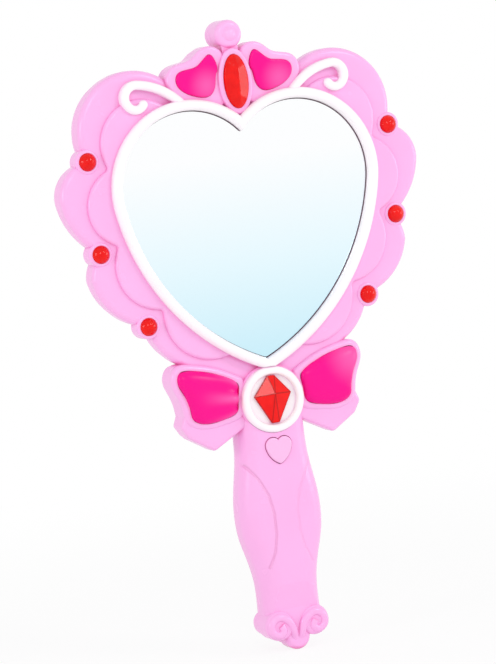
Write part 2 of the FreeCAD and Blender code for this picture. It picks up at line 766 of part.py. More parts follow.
def scroll():
    """Right scroll: a round-topped rib that rises from the bezel, bends ever tighter and ends round."""
    down = Vector(0, 0, -1)
    x, y = SCROLL_START
    heading = math.radians(SCROLL_HEADING)
    pieces = []
    for radius, turn in SCROLL_BENDS:
        centre = at(x + radius * math.sin(heading), y - radius * math.cos(heading))
        pieces.append(ridge(x, y, heading).revolve(centre, down, turn))
        heading -= math.radians(turn)
        x = centre.x - radius * math.sin(heading)
        y = centre.y + radius * math.cos(heading)
    pieces.append(ridge(x, y, heading, half=True).revolve(at(x, y), down, 180))
    return joined(pieces)


def ridge(x, y, heading, half=False):
    """Upright section of the scroll square across a heading, or the left half of it."""
    across = Vector(-math.sin(heading), math.cos(heading), 0)

    def spot(out, depth):
        return at(x, y, depth) + across * (out * SCROLL_R)

    slant = math.sqrt(0.5)
    crest = SCROLL_Z + SCROLL_R
    inner = 0 if half else -1
    left = Part.Arc(spot(1, SCROLL_Z), spot(slant, SCROLL_Z + slant * SCROLL_R), spot(0, crest)).toShape()
    edges = [Part.makeLine(spot(inner, PETAL_TOP), spot(1, PETAL_TOP))]
    edges += [Part.makeLine(spot(1, PETAL_TOP), spot(1, SCROLL_Z)), left]
    if half:
        edges.append(Part.makeLine(spot(0, crest), spot(0, PETAL_TOP)))
    else:
        right = Part.Arc(spot(0, crest), spot(-slant, SCROLL_Z + slant * SCROLL_R), spot(-1, SCROLL_Z))
        edges += [right.toShape(), Part.makeLine(spot(-1, SCROLL_Z), spot(-1, PETAL_TOP))]
    return Part.Face(Part.Wire(edges))


def red_dome(x, y):
    """Round red gem with its flange in the boss and a pin below."""
    stone = dome(x, y, RIM_GEM_R, BOSS_TOP, RIM_GEM_RISE)
    flange = rod(x, y, RIM_GEM_R, BOSS_TOP - GEM_SEAT, BOSS_TOP)
    return joined([stone, flange, rod(x, y, GEM_PIN_R, GEM_PIN_LOW, BOSS_TOP)])


def crown_gem():
    """Red oval stone in the crown's collar."""
    top = COLLAR_TOP + CROWN_GEM_RISE
    return rounded(slab(oval(CROWN_GEM_HALF, CROWN_GEM_Y), CROWN_GEM_LOW, top), top, CROWN_GEM_RISE)


def gem_ring():
    """White ring over the bow's knot, with the dish that holds the gem and a hole for the lamp."""
    ring = rounded(rod(0, RING_Y, RING_R, TIER_TOP, RING_TOP), RING_TOP, RING_ROUND)
    ring = ring.cut(rod(0, RING_Y, RING_BORE, DISH_TOP, FAR))
    edges = [e for e in ring.Edges if e.BoundBox.ZMin > RING_TOP - 0.01 and e.BoundBox.XMax < RING_BORE + 0.1]
    ring = ring.makeFillet(RING_BORE_ROUND, edges)
    ring = ring.fuse(rod(0, RING_Y, SPIGOT_R, SPIGOT_LOW, TIER_TOP))
    return one_solid(ring.cut(rod(0, RING_Y, LAMP_R + LAMP_ROOM, 0, FAR)))


def centre_gem():
    """Red kite stone: a flat girdle and facets that rise to one point."""
    base = [at(x, y, DISH_TOP) for x, y in KITE_CORNERS]
    girdle = [at(x, y, KITE_GIRDLE) for x, y in KITE_CORNERS]
    apex = at(*KITE_APEX)
    rings = [base]
    for here in range(len(base)):
        rings.append([base[here - 1], base[here], girdle[here], girdle[here - 1]])
        rings.append([girdle[here - 1], girdle[here], apex])
    faces = [Part.Face(Part.makePolygon(ring + ring[:1])) for ring in rings]
    return Part.makeSolid(Part.makeShell(faces))


def heart_button():
    """Pink heart cap with a flange under the grip's wall and a post on the switch."""
    cap = rounded(slab(button_heart(), FLANGE_TOP - 0.1, BUTTON_TOP), BUTTON_TOP, BUTTON_ROUND)
    flange = slab(button_heart(FLANGE), FLANGE_TOP - FLANGE_THICK, FLANGE_TOP)
    return joined([cap, flange, rod(0, BUTTON_Y, BUTTON_POST_R, PLUNGER_TOP, FLANGE_TOP)])


def circuit_board():
    """Board between the button and the bow's gem."""
    board = box(-BOARD_HALF, BOARD_HALF, *BOARD_ENDS, BOARD_LOW, BOARD_TOP)
    holes = [rod(side * BOARD_PIN[0], BOARD_PIN[1], BOARD_PIN_R + 0.05, 0, FAR) for side in (-1, 1)]
    return board.cut(holes)


def switch_housing():
    """Square push switch on the board, open in the middle for its plunger."""
    ends = (BUTTON_Y - SWITCH_HALF, BUTTON_Y + SWITCH_HALF)
    body = box(-SWITCH_HALF, SWITCH_HALF, *ends, BOARD_TOP, SWITCH_TOP)
    body = soft_corners(body, SWITCH_CORNER)
    return body.cut(rod(0, BUTTON_Y, PLUNGER_R + PLUNGER_FIT, BOARD_TOP + SWITCH_FLOOR, FAR))


def gem_lamp():
    """Round-nosed lamp that lights the kite gem from behind."""
    collar = rod(0, RING_Y, LAMP_FLANGE_R, BOARD_TOP, BOARD_TOP + LAMP_FLANGE)
    stem = rod(0, RING_Y, LAMP_R, BOARD_TOP, LAMP_TOP - LAMP_R)
    nose = Part.makeSphere(LAMP_R, at(0, RING_Y, LAMP_TOP - LAMP_R), Vector(0, 0, 1), 0, 90, 360)
    return joined([collar, stem, nose])


def cell(x, nub_up):
    """One round cell with its nub at either end."""
    low = CELL_LOW if nub_up else CELL_LOW + CELL_NUB
    high = low + CELL_LENGTH - CELL_NUB
    can = bar(x, CELL_Z, CELL_R, low, high)
    edges = [edge for edge in can.Edges if edge.Curve.TypeId == "Part::GeomCircle"]
    can = can.makeFillet(CELL_ROUND, edges)
    nub = bar(x, CELL_Z, CELL_NUB_R, high - 0.1, high + CELL_NUB)
    if not nub_up:
        nub = bar(x, CELL_Z, CELL_NUB_R, low - CELL_NUB, low + 0.1)
    return can.fuse(nub).removeSplitter().Solids[0]


def contact(x0, x1, wall_y, towards):
    """Contact strip on the tray's end wall, with a bowed tongue that presses on each cell."""
    ends = sorted((wall_y, wall_y + towards * CONTACT_THICK))
    strip = box(x0, x1, *ends, CELL_Z - CONTACT_HALF, CELL_Z + CONTACT_HALF)
    reach = CONTACT_ROOM - TRAY_WALL
    tongues = []
    for side in (-1, 1):
        if x0 < side * CELL_X < x1:
            tongue = Part.Arc(
                at(side * CELL_X, wall_y, CELL_Z - TONGUE_HALF),
                at(side * CELL_X, wall_y + towards * (reach - CONTACT_THICK), CELL_Z),
                at(side * CELL_X, wall_y, CELL_Z + TONGUE_HALF),
            ).toShape()
            chord = Part.makeLine(tongue.Vertexes[1].Point, tongue.Vertexes[0].Point)
            bow = Part.Face(Part.Wire([tongue, chord]))
            tongues.append(bow.translated(at(-TONGUE_WIDTH / 2, 0)).extrude(Vector(TONGUE_WIDTH, 0, 0)))
    return joined([strip] + tongues)


def solder_tab(x, room=0.0):
    """Tab that leads a contact out through the tray's upper wall, or the slot for it."""
    wall = CELL_LOW + CELL_LENGTH + CONTACT_ROOM - TRAY_WALL
    width = TAB_HALF_WIDTH + room
    thick = TAB_HALF_THICK + room
    return box(x - width, x + width, wall - TAB_ROOT, TAB_END, TAB_Z - thick, TAB_Z + thick)


def battery_tray():
    """Tray over the cells that carries their contacts and keeps them off the board."""
    low = CELL_LOW - CONTACT_ROOM
    high = CELL_LOW + CELL_LENGTH + CONTACT_ROOM
    roof = box(-TRAY_HALF, TRAY_HALF, low, high, *TRAY_ROOF)
    walls = []
    for y in (low, high - TRAY_WALL):
        walls.append(box(-TRAY_HALF, TRAY_HALF, y, y + TRAY_WALL, TRAY_LOW, TRAY_ROOF[1]))
    return carved(joined([roof] + walls), pair(solder_tab(CELL_X, TAB_FIT)))


def battery_door():
    """Cell door: the back of the grip below its side walls, with the screw's seat."""
    blank = grip_rear().common(door_room(0.0))
    boss = rod(0, DOOR_SCREW_Y, TOWER_R, BACK + 0.5, DOOR_BOSS_TOP)
    door = joined([blank.cut(grip_room()), boss])
    well = rod(0, DOOR_SCREW_Y, HEAD_WELL_R, -FAR, DOOR_SEAT)
    return door.cut([well, rod(0, DOOR_SCREW_Y, SHANK_HOLE_R, -FAR, FAR)])


def screw(x, y, seat, end):
    """Cross-slotted screw whose head faces the back."""
    head = rod(x, y, SCREW_HEAD_R, seat - SCREW_HEAD, seat)
    head = rounded(head, seat - SCREW_HEAD, SCREW_HEAD_ROUND)
    half = SLOT_WIDTH / 2
    floor = seat - SCREW_HEAD + SLOT_DEPTH
    cross = [
        box(x - half, x + half, y - SLOT_REACH, y + SLOT_REACH, -FAR, floor),
        box(x - SLOT_REACH, x + SLOT_REACH, y - half, y + half, -FAR, floor),
    ]
    return joined([head, rod(x, y, SCREW_R, seat, end)]).cut(cross)


def lead(points):
    """Insulated wire along straight runs joined by arcs as large as the runs allow."""
    corners = [Vector(*point) for point in points]
    edges = []
    here = corners[0]
    for before, corner, after in zip(corners, corners[1:], corners[2:]):
        inward = (before - corner).normalize()
        onward = (after - corner).normalize()
        back = 0.45 * min(before.distanceToPoint(corner), after.distanceToPoint(corner))
        half_turn = (math.pi - inward.getAngle(onward)) / 2
        radius = back / math.tan(half_turn)
        middle = (inward + onward).normalize()
        through = corner + middle * (radius / math.cos(half_turn) - radius)
        start = corner + inward * back
        end = corner + onward * back
        edges.append(Part.makeLine(here, start))
        edges.append(Part.Arc(start, through, end).toShape())
        here = end
    edges.append(Part.makeLine(here, corners[-1]))
    ring = Part.Circle(corners[0], corners[1] - corners[0], LEAD_R).toShape()
    return Part.Wire(edges).makePipeShell([Part.Wire(ring)], True, True)


def speaker():
    """Small round speaker: basket, magnet and cone, facing the grille behind the head."""
    basket = rod(0, SPEAKER_Y, SPEAKER_R, SPEAKER_BACK + 0.05, BASKET_TOP)
    basket = basket.cut(rod(0, SPEAKER_Y, SPEAKER_R - BASKET_WALL, -FAR, BASKET_TOP - BASKET_FLOOR))
    basket = basket.cut(rod(0, SPEAKER_Y, BASKET_HOLE_R, -FAR, FAR))
    magnet = rounded(rod(0, SPEAKER_Y, MAGNET_R, BASKET_TOP, MAGNET_TOP), MAGNET_TOP, MAGNET_ROUND)
    cone = Part.makeCone(CONE_R, CONE_NECK_R, CONE_DEEP, at(0, SPEAKER_Y, SPEAKER_BACK + CONE_SHEET))
    dish_r = CONE_R - DISH_STEP
    dish = Part.makeCone(dish_r, CONE_NECK_R - DISH_STEP, CONE_DEEP, at(0, SPEAKER_Y, SPEAKER_BACK))
    cap = Part.makeSphere(CAP_BALL_R, at(0, SPEAKER_Y, CAP_LOW + CAP_BALL_R))
    cap = cap.common(rod(0, SPEAKER_Y, CAP_R, -FAR, CAP_HIGH))
    return basket, magnet, joined([cone.cut(dish), cap])


def trim_nodes():
    """Stones and coloured inlays, by node name."""
    nodes = {"crown_gem": crown_gem(), "gem_ring": gem_ring(), "centre_gem": centre_gem()}
    heart_inlay = slab(crown_heart(), CROWN_TOP - INLAY_DEPTH, CROWN_HEART_TOP)
    heart_inlay = rounded(heart_inlay, CROWN_HEART_TOP, HEART_INLAY_ROUND)
    loop = rounded(slab(bow_loop(), BOW_TOP - INLAY_DEPTH, BOW_INLAY_TOP), BOW_INLAY_TOP, BOW_INLAY_ROUND)
    for name, piece in (("crown_heart", heart_inlay), ("bow_inlay", loop)):
        nodes[f"{name}_right"] = piece
        nodes[f"{name}_left"] = mirrored(piece)
    for name, place in GEM_PLACES.items():
        nodes[f"rim_gem_{name}_right"] = red_dome(*place)
        nodes[f"rim_gem_{name}_left"] = red_dome(-place[0], place[1])
    return nodes


def works_nodes():
    """Board, switch, lamp, cells, speaker and leads, by node name."""
    low_wall = CELL_LOW - CONTACT_ROOM + TRAY_WALL
    high_wall = CELL_LOW + CELL_LENGTH + CONTACT_ROOM - TRAY_WALL
    edge = CELL_X + CONTACT_REACH
    inner = CELL_X - CONTACT_REACH
    plunger = rod(0, BUTTON_Y, PLUNGER_R, PLUNGER_LOW, PLUNGER_TOP)
    basket, magnet, cone = speaker()
    battery_lead = lead([(CELL_X, TAB_END, TAB_Z), (CELL_X, 40.5, TAB_Z), (CELL_X, 40.5, BOARD_LOW)])
    speaker_lead = lead([
        (3.0, 46.5, BOARD_LOW), (3.0, 46.5, 0.4), (3.4, 58.0, -2.0), (6.4, 76.0, -3.4), (6.6, 89.5, -2.8),
        (6.6, 89.5, BASKET_TOP),
    ])
    return {
        "circuit_board": circuit_board(),
        "switch_housing": switch_housing(),
        "switch_plunger": rounded(plunger, PLUNGER_TOP, PLUNGER_ROUND),
        "melody_chip": dome(0, CHIP_Y, CHIP_R, BOARD_TOP, CHIP_RISE),
        "gem_lamp": gem_lamp(),
        "battery_tray": battery_tray(),
        "battery_left": cell(-CELL_X, False),
        "battery_right": cell(CELL_X, True),
        "bridge_contact": contact(-edge, edge, low_wall, 1),
        "positive_contact": joined([contact(inner, edge, high_wall, -1), solder_tab(CELL_X)]),
        "negative_contact": joined([contact(-edge, -inner, high_wall, -1), solder_tab(-CELL_X)]),
        "speaker_basket": basket,
        "speaker_magnet": magnet,
        "speaker_cone": cone,
        "battery_lead_red": battery_lead,
        "battery_lead_black": mirrored(battery_lead),
        "speaker_lead_red": speaker_lead,
        "speaker_lead_black": mirrored(speaker_lead),
    }


def all_nodes():
    """Every piece of the mirror, by node name."""
    seat = MIRROR_FACE - MIRROR_THICK
    front = front_shell()
    nodes = {
        "front_shell": front,
        "rear_shell": rear_shell(),
        "mirror_bezel": mirror_bezel(front),
        "mirror_plate": slab(heart(MIRROR_LIP), seat, MIRROR_FACE),
        "mirror_pad": slab(heart(-PAD_INSET), seat - PAD_THICK, seat),
        "heart_button": heart_button(),
        "battery_door": battery_door(),
        "door_screw": screw(0, DOOR_SCREW_Y, DOOR_SEAT, DOOR_SCREW_END),
    }
    screws = [screw(x, y, SCREW_SEAT, SCREW_END) for x, y in CASE_SCREWS + [FOOT_SCREW]]
    nodes["case_screws"] = Part.makeCompound(screws)
    nodes.update(trim_nodes())
    nodes.update(works_nodes())
    return nodes


def main():
    """Turn every piece upright and write it."""
    os.makedirs("parts", exist_ok=True)
    for name, shape in all_nodes().items():
        shape = shape.copy()
        shape.rotate(Vector(), Vector(1, 0, 0), 90)
        shape.exportStep(f"parts/{name}.step")
        print(name, shape.isValid(), len(shape.Solids), round(shape.Volume, 1))


if __name__ == "__main__":
    main()
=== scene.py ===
"""Looks of a child's heart-shaped hand mirror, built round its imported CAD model.

The frame is the CAD model's own: metres, +Z towards the crown, the looking glass facing -Y and the
origin in the middle of the grip.
"""

from __future__ import annotations

import logging
import math
from dataclasses import dataclass
from enum import Enum
from functools import cache, cached_property
from typing import Any

import bpy
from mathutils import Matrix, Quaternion, Vector

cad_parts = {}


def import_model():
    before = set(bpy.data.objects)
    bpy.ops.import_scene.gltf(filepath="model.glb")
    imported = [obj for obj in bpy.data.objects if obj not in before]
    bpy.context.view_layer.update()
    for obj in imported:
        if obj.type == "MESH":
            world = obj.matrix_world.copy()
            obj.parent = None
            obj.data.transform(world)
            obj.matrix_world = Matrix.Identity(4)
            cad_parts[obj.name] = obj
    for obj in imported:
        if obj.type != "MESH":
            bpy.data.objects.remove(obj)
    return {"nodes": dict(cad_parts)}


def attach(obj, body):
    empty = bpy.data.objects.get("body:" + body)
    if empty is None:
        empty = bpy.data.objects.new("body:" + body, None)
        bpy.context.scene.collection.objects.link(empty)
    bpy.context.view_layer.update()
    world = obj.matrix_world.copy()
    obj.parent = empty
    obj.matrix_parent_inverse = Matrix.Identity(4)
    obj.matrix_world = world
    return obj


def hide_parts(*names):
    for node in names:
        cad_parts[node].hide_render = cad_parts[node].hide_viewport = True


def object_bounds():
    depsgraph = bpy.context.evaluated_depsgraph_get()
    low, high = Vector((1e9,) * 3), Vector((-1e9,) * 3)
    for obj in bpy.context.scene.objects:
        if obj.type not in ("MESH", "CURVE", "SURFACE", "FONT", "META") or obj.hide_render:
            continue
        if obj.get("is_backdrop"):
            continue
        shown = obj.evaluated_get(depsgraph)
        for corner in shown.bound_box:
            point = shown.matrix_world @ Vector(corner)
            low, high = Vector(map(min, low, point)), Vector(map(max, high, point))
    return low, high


Colour = tuple[float, float, float, float]
Spot = tuple[float, float]
Triple = tuple[float, float, float]
Line = tuple[Spot, Spot]
Nodes = dict[str, bpy.types.Object]

LOG = logging.getLogger("hand_mirror")
MM = 0.001
CASE_BODY = "casing"


class Side(Enum):
    """The two halves of the mirror, by the sign of x."""

    LEFT = -1
    RIGHT = 1

    @property
    def word(self) -> str:
        """The side's name, as the CAD nodes spell it."""
        return self.name.lower()


def shade(red: int, green: int, blue: int) -> Colour:
    """Turn screen levels into the linear colour that a shader takes.

    Args:
        red: Red level from 0 to 255.
        green: Green level from 0 to 255.
        blue: Blue level from 0 to 255.

    Returns:
        The linear colour, opaque.
    """
    parts = [level / 255 for level in (red, green, blue)]
    linear = [part / 12.92 if part <= 0.04045 else ((part + 0.055) / 1.055) ** 2.4 for part in parts]
    return (linear[0], linear[1], linear[2], 1.0)


class Wire:
    """One value or colour in a material, with arithmetic that adds the nodes for it."""

    def __init__(self, paint: Paint, socket: bpy.types.NodeSocket | None) -> None:
        """Wrap an output socket of a paint's node, if it has one."""
        self.paint = paint
        self.socket = socket

    def _math(self, operation: str, first: Any, second: Any = 0.0) -> Wire:
        """Add one Math node and return its value."""
        return self.paint.node("ShaderNodeMath", {"operation": operation}, {0: first, 1: second})

    def __add__(self, other: Wire | float) -> Wire:
        """Sum of two values."""
        return self._math("ADD", self, other)

    __radd__ = __add__

    def __sub__(self, other: Wire | float) -> Wire:
        """Difference of two values."""
        return self._math("SUBTRACT", self, other)

    def __rsub__(self, other: float) -> Wire:
        """A number less this value."""
        return self._math("SUBTRACT", other, self)

    def __mul__(self, other: Wire | float) -> Wire:
        """Product of two values."""
        return self._math("MULTIPLY", self, other)

    def __pow__(self, other: float) -> Wire:
        """This value to a power."""
        return self._math("POWER", self, other)

    def __lt__(self, other: float) -> Wire:
        """One where this value is the smaller, and else nought."""
        return self._math("LESS_THAN", self, other)

    def smaller(self, other: Wire | float) -> Wire:
        """The smaller of two values."""
        return self._math("MINIMUM", self, other)

    def larger(self, other: Wire | float) -> Wire:
        """The larger of two values."""
        return self._math("MAXIMUM", self, other)

    def size(self) -> Wire:
        """This value without its sign."""
        return self._math("ABSOLUTE", self)

    def exponent(self) -> Wire:
        """The exponential of this value."""
        return self._math("EXPONENT", self)

    def cosine(self) -> Wire:
        """The cosine of this angle."""
        return self._math("COSINE", self)

    def slope_angle(self, across: Wire) -> Wire:
        """Angle above the level of a line that climbs by this value over a distance across."""
        return self._math("ARCTAN2", self, across)

    def between(self, low: float, high: float) -> Wire:
        """Rise smoothly from nought at one level of this value to one at another.

        Args:
            low: Level where the result is 0.
            high: Level where the result is 1.

        Returns:
            The smoothed share.
        """
        settings = {"interpolation_type": "SMOOTHSTEP"}
        levels = {"Value": self, "From Min": low, "From Max": high}
        return self.paint.node("ShaderNodeMapRange", settings, levels)


class Paint:
    """A material, or the world, while its nodes are laid out."""

    occlusion_samples = 8

    def __init__(self, owner: bpy.types.Material | bpy.types.World) -> None:
        """Start with no nodes.

        Args:
            owner: The new material or world.
        """
        self.owner = owner
        owner.use_nodes = True
        self.tree = owner.node_tree
        self.tree.nodes.clear()

    @classmethod
    def named(cls, name: str) -> Paint:
        """Start a material of a given name."""
        return cls(bpy.data.materials.new(name))

    @cached_property
    def place(self) -> Wire:
        """The place of a point on the piece."""
        return self.node("ShaderNodeTexCoord", output="Object")

    def node(
        self,
        kind: str,
        settings: dict[str, Any] | None = None,
        inputs: dict[str | int, Any] | None = None,
        output: str | int = 0,
    ) -> Wire:
        """Add a node.

        Args:
            kind: The node's type.
            settings: Its own settings; "stops" gives a colour ramp's places and colours.
            inputs: Values or links of its sockets.
            output: The output that is wanted.

        Returns:
            The wire from that output.
        """
        made = self.tree.nodes.new(kind)
        for name, value in (settings or {}).items():
            if name == "stops":
                self._set_stops(made.color_ramp.elements, value)
            else:
                setattr(made, name, value)
        for name, value in (inputs or {}).items():
            if isinstance(value, Wire):
                self.tree.links.new(value.socket, made.inputs[name])
            else:
                made.inputs[name].default_value = value
        return Wire(self, made.outputs[output] if made.outputs else None)

    @staticmethod
    def _set_stops(elements: Any, stops: tuple[tuple[float, Colour], ...]) -> None:
        """Give a colour ramp its stops."""
        while len(elements) < len(stops):
            elements.new(1.0)
        for element, (position, colour) in zip(elements, stops):
            element.position = position
            element.color = colour

    def axes(self) -> tuple[Wire, Wire, Wire]:
        """The three coordinates of a point on the piece."""
        parts = self.node("ShaderNodeSeparateXYZ", inputs={0: self.place})
        outputs = parts.socket.node.outputs
        return Wire(self, outputs[0]), Wire(self, outputs[1]), Wire(self, outputs[2])

    def noise(self, scale: float, detail: float = 2.0) -> Wire:
        """Cloudy value about a half.

        Args:
            scale: Clouds in a metre.
            detail: Octaves of finer clouds.

        Returns:
            The value.
        """
        inputs = {"Vector": self.place, "Scale": scale, "Detail": detail}
        return self.node("ShaderNodeTexNoise", inputs=inputs)

    def near(self, x: Wire, z: Wire, lines: list[Line], width: float) -> Wire:
        """How near a point is to any of several straight lines: one on a line and nought away from it.

        Args:
            x: The point's place across the piece.
            z: The point's height.
            lines: Both ends of each line, in millimetres.
            width: Distance at which the nearness has faded to about a third.

        Returns:
            The nearness.
        """
        nearest: Wire | None = None
        for (x0, z0), (x1, z1) in lines:
            run_x, run_z = (x1 - x0) * MM, (z1 - z0) * MM
            from_x, from_z = x - x0 * MM, z - z0 * MM
            length = run_x ** 2 + run_z ** 2
            along = (from_x * (run_x / length) + from_z * (run_z / length)).larger(0.0).smaller(1.0)
            away = (from_x - along * run_x) ** 2.0 + (from_z - along * run_z) ** 2.0
            nearest = away if nearest is None else nearest.smaller(away)
        return (nearest * (-1.0 / width ** 2)).exponent()

    def openness(self, reach: float) -> Wire:
        """How open the surface is: nought deep in a groove, one on a bare face."""
        settings = {"samples": self.occlusion_samples}
        return self.node("ShaderNodeAmbientOcclusion", settings, {"Distance": reach}, "AO")

    def mix(self, share: Wire | float, first: Wire | Colour, second: Wire | Colour) -> Wire:
        """Blend two colours.

        Args:
            share: How much of the second colour shows.
            first: Colour where the share is 0.
            second: Colour where the share is 1.

        Returns:
            The blended colour.
        """
        settings = {"data_type": "RGBA"}
        return self.node("ShaderNodeMix", settings, {0: share, 6: first, 7: second}, 2)

    def bump(self, height: Wire, distance: float, strength: float) -> Wire:
        """Normal of a surface with relief.

        Args:
            height: Height in shares of the distance.
            distance: Height in metres where the share is 1.
            strength: How strongly the relief shows.

        Returns:
            The normal.
        """
        inputs = {"Strength": strength, "Distance": distance, "Height": height}
        return self.node("ShaderNodeBump", inputs=inputs)

    def finish(self, **sockets: Any) -> bpy.types.Material:
        """Close the material with one surface shader.

        Args:
            **sockets: The shader's sockets, with _ for a space.

        Returns:
            The material.
        """
        inputs = {name.replace("_", " "): value for name, value in sockets.items()}
        surface = self.node("ShaderNodeBsdfPrincipled", inputs=inputs)
        self.node("ShaderNodeOutputMaterial", inputs={"Surface": surface})
        return self.owner


@dataclass(frozen=True)
class Moulding:
    """Glossy moulded plastic whose colour deepens in its grooves, as painted shade."""

    name: str
    colour: Colour
    # Deeper tone, used for random mottling and for painted shade in grooves.
    groove: Colour
    groove_reach: float = 2.6 * MM
    groove_ends: Spot = (0.25, 0.9)
    cloud_scale: float = 55.0
    cloud_share: float = 0.22
    ripple_scale: float = 420.0
    ripple_detail: float = 1.0
    ripple_height: float = 0.06 * MM
    ripple_strength: float = 0.35
    roughness: float = 0.26
    rough_scale: float = 160.0
    rough_swing: float = 0.08
    gloss: float = 0.4
    coat: float = 0.1
    coat_roughness: float = 0.12

    def colours(self, paint: Paint) -> Wire:
        """Colour over the surface, cloudy by a few percent towards its deeper tone, with painted shade
        deeper in grooves.
        """
        cloudy = paint.mix(paint.noise(self.cloud_scale) * self.cloud_share, self.colour, self.groove)
        # Painted shade: the deeper tone shows where ambient occlusion finds a groove.
        bare = paint.openness(self.groove_reach).between(*self.groove_ends)
        return paint.mix(bare, self.groove, cloudy)

    def ripple(self, paint: Paint) -> Wire:
        """Faint unevenness of a moulded face."""
        return paint.noise(self.ripple_scale, self.ripple_detail)

    def relief(self, paint: Paint) -> Wire:
        """Normal of the faintly rippled face."""
        return paint.bump(self.ripple(paint), self.ripple_height, self.ripple_strength)

    def make(self) -> bpy.types.Material:
        """The finished material."""
        paint = Paint.named(self.name)
        return paint.finish(
            Base_Color=self.colours(paint),
            Roughness=self.roughness + (paint.noise(self.rough_scale) - 0.5) * self.rough_swing,
            Normal=self.relief(paint),
            Specular_IOR_Level=self.gloss,
            Coat_Weight=self.coat,
            Coat_Roughness=self.coat_roughness,
        )


@dataclass(frozen=True)
class CaseMoulding(Moulding):
    """Pink plastic of the front shell, with the leaf-shaped creases pressed into the grip and painted shade
    along them.
    """

    crease: tuple[Spot, ...] = (
        (-13.2, 19.0), (-9.4, 13.4), (-6.2, 7.0), (-4.8, 0.0), (-4.8, -8.0), (-6.2, -14.5), (-8.8, -20.0),
    )
    crease_width: float = 0.45 * MM
    crease_depth: float = 0.5 * MM
    crease_strength: float = 0.8
    crease_shade: float = 0.35
    ripple_share: float = 0.04
    faint: float = 0.45

    def furrow(self, paint: Paint) -> Wire:
        """How deep a point lies in a crease: one along its line and nought away from it."""
        x, y, z = paint.axes()
        lines = list(zip(self.crease, self.crease[1:]))
        line = paint.near(x.size() * -1.0, z, lines, self.crease_width)
        strength = (x < 0.0) * (1.0 - self.faint) + self.faint
        return line * strength * (y < 0.0)

    def colours(self, paint: Paint) -> Wire:
        """Colour of the case, with painted shade a little deeper along the creases."""
        # Painted shade along the creases: the deeper tone mixed in by the crease mask.
        deeper = self.furrow(paint) * self.crease_shade
        return paint.mix(deeper, Moulding.colours(self, paint), self.groove)

    def relief(self, paint: Paint) -> Wire:
        """Normal of the rippled face with its creases."""
        height = self.ripple(paint) * self.ripple_share - self.furrow(paint)
        return paint.bump(height, self.crease_depth, self.crease_strength)


@dataclass(frozen=True)
class Inlay(Moulding):
    """Deep pink plastic with a painted highlight about one place, given from the centre line in millimetres.
    """

    # Colour of the painted highlight.
    pale: Colour = (1.0, 1.0, 1.0, 1.0)
    pale_share: float = 0.75
    middle: Spot = (0.0, 0.0)
    start: float = 0.0
    reach: float = 10.0

    def glow(self, across: Wire, up: Wire) -> Wire:
        """How much painted highlight a point takes.

        Args:
            across: How far out from the middle of the painted highlight the point lies.
            up: How far above that middle it lies.

        Returns:
            The share of the painted highlight colour.
        """
        away = (across ** 2.0 + up ** 2.0) ** 0.5
        far = away.between(self.start * MM, (self.start + self.reach) * MM)
        return (1.0 - far) * self.pale_share

    def colours(self, paint: Paint) -> Wire:
        """Colour over the inlay, with its painted highlight."""
        x, _, z = paint.axes()
        glow = self.glow(x.size() - self.middle[0] * MM, z - self.middle[1] * MM)
        return paint.mix(glow, Moulding.colours(self, paint), self.pale)


@dataclass(frozen=True)
class Folds:
    """Folds of one loop: depth and fading in millimetres, how many go into a turn, and one ridge's angle."""

    depth: float
    fade: float
    count: float
    ridge: float


RING_HEIGHT = 42.4
FOLD_START = 13.0
LOOP_FOLDS = {
    Side.LEFT: Folds(1.5, 6.0, 15.0, math.radians(9)),
    Side.RIGHT: Folds(0.45, 5.0, 11.0, 0.0),
}


@dataclass(frozen=True)
class FoldedInlay(Inlay):
    """Deep pink plastic of a bow's loop, with a painted highlight along the ridges of the folds near its
    ring.
    """

    folds: Folds = LOOP_FOLDS[Side.LEFT]

    def glow(self, across: Wire, up: Wire) -> Wire:
        """How much painted highlight a point takes, by its place from the ring's middle."""
        turn = (up.slope_angle(across) - self.folds.ridge) * self.folds.count
        ridge = (turn.cosine() * 0.5 + 0.5) ** 2.0
        return Inlay.glow(self, across, up) * ridge


@dataclass(frozen=True)
class Stone:
    """Polished clear red stone, with painted shade where it dips into its seat."""

    name: str
    colour: Colour
    heart: Colour
    # Colour of the painted shade at the seat or along facet edges.
    edge: Colour
    seat_reach: float = 0.9 * MM
    seat_ends: Spot = (0.3, 0.85)
    depth_scale: float = 260.0
    depth_detail: float = 3.0
    depth_ends: Spot = (0.35, 0.7)
    heart_share: float = 0.6
    roughness: float = 0.05
    rough_scale: float = 600.0
    rough_swing: float = 0.03
    gloss: float = 0.25

    def dark(self, paint: Paint) -> Wire:
        """How much painted shade the stone takes: one where it meets its seat."""
        return 1.0 - paint.openness(self.seat_reach).between(*self.seat_ends)

    def make(self) -> bpy.types.Material:
        """The finished material."""
        paint = Paint.named(self.name)
        depth = paint.noise(self.depth_scale, self.depth_detail).between(*self.depth_ends)
        body = paint.mix(depth * self.heart_share, self.colour, self.heart)
        return paint.finish(
            Base_Color=paint.mix(self.dark(paint), body, self.edge),
            Roughness=self.roughness + paint.noise(self.rough_scale) * self.rough_swing,
            Specular_IOR_Level=self.gloss,
        )


@dataclass(frozen=True)
class KiteStone(Stone):
    """Red stone of the bow, with painted shade as thin dark lines along its facet edges."""

    apex: Spot = (0.0, 44.7)
    corners: tuple[Spot, ...] = (
        (-1.4, 51.3), (-7.4, 44.2), (-1.5, 33.6), (1.5, 33.6), (7.4, 44.2), (1.4, 51.3),
    )
    edge_width: float = 0.26 * MM
    edge_share: float = 0.7

    def dark(self, paint: Paint) -> Wire:
        """How much painted shade the stone takes, along the edges of its facets."""
        x, _, z = paint.axes()
        lines = [(self.apex, corner) for corner in self.corners]
        lines += list(zip(self.corners, self.corners[1:]))
        return paint.near(x, z, lines, self.edge_width) * self.edge_share


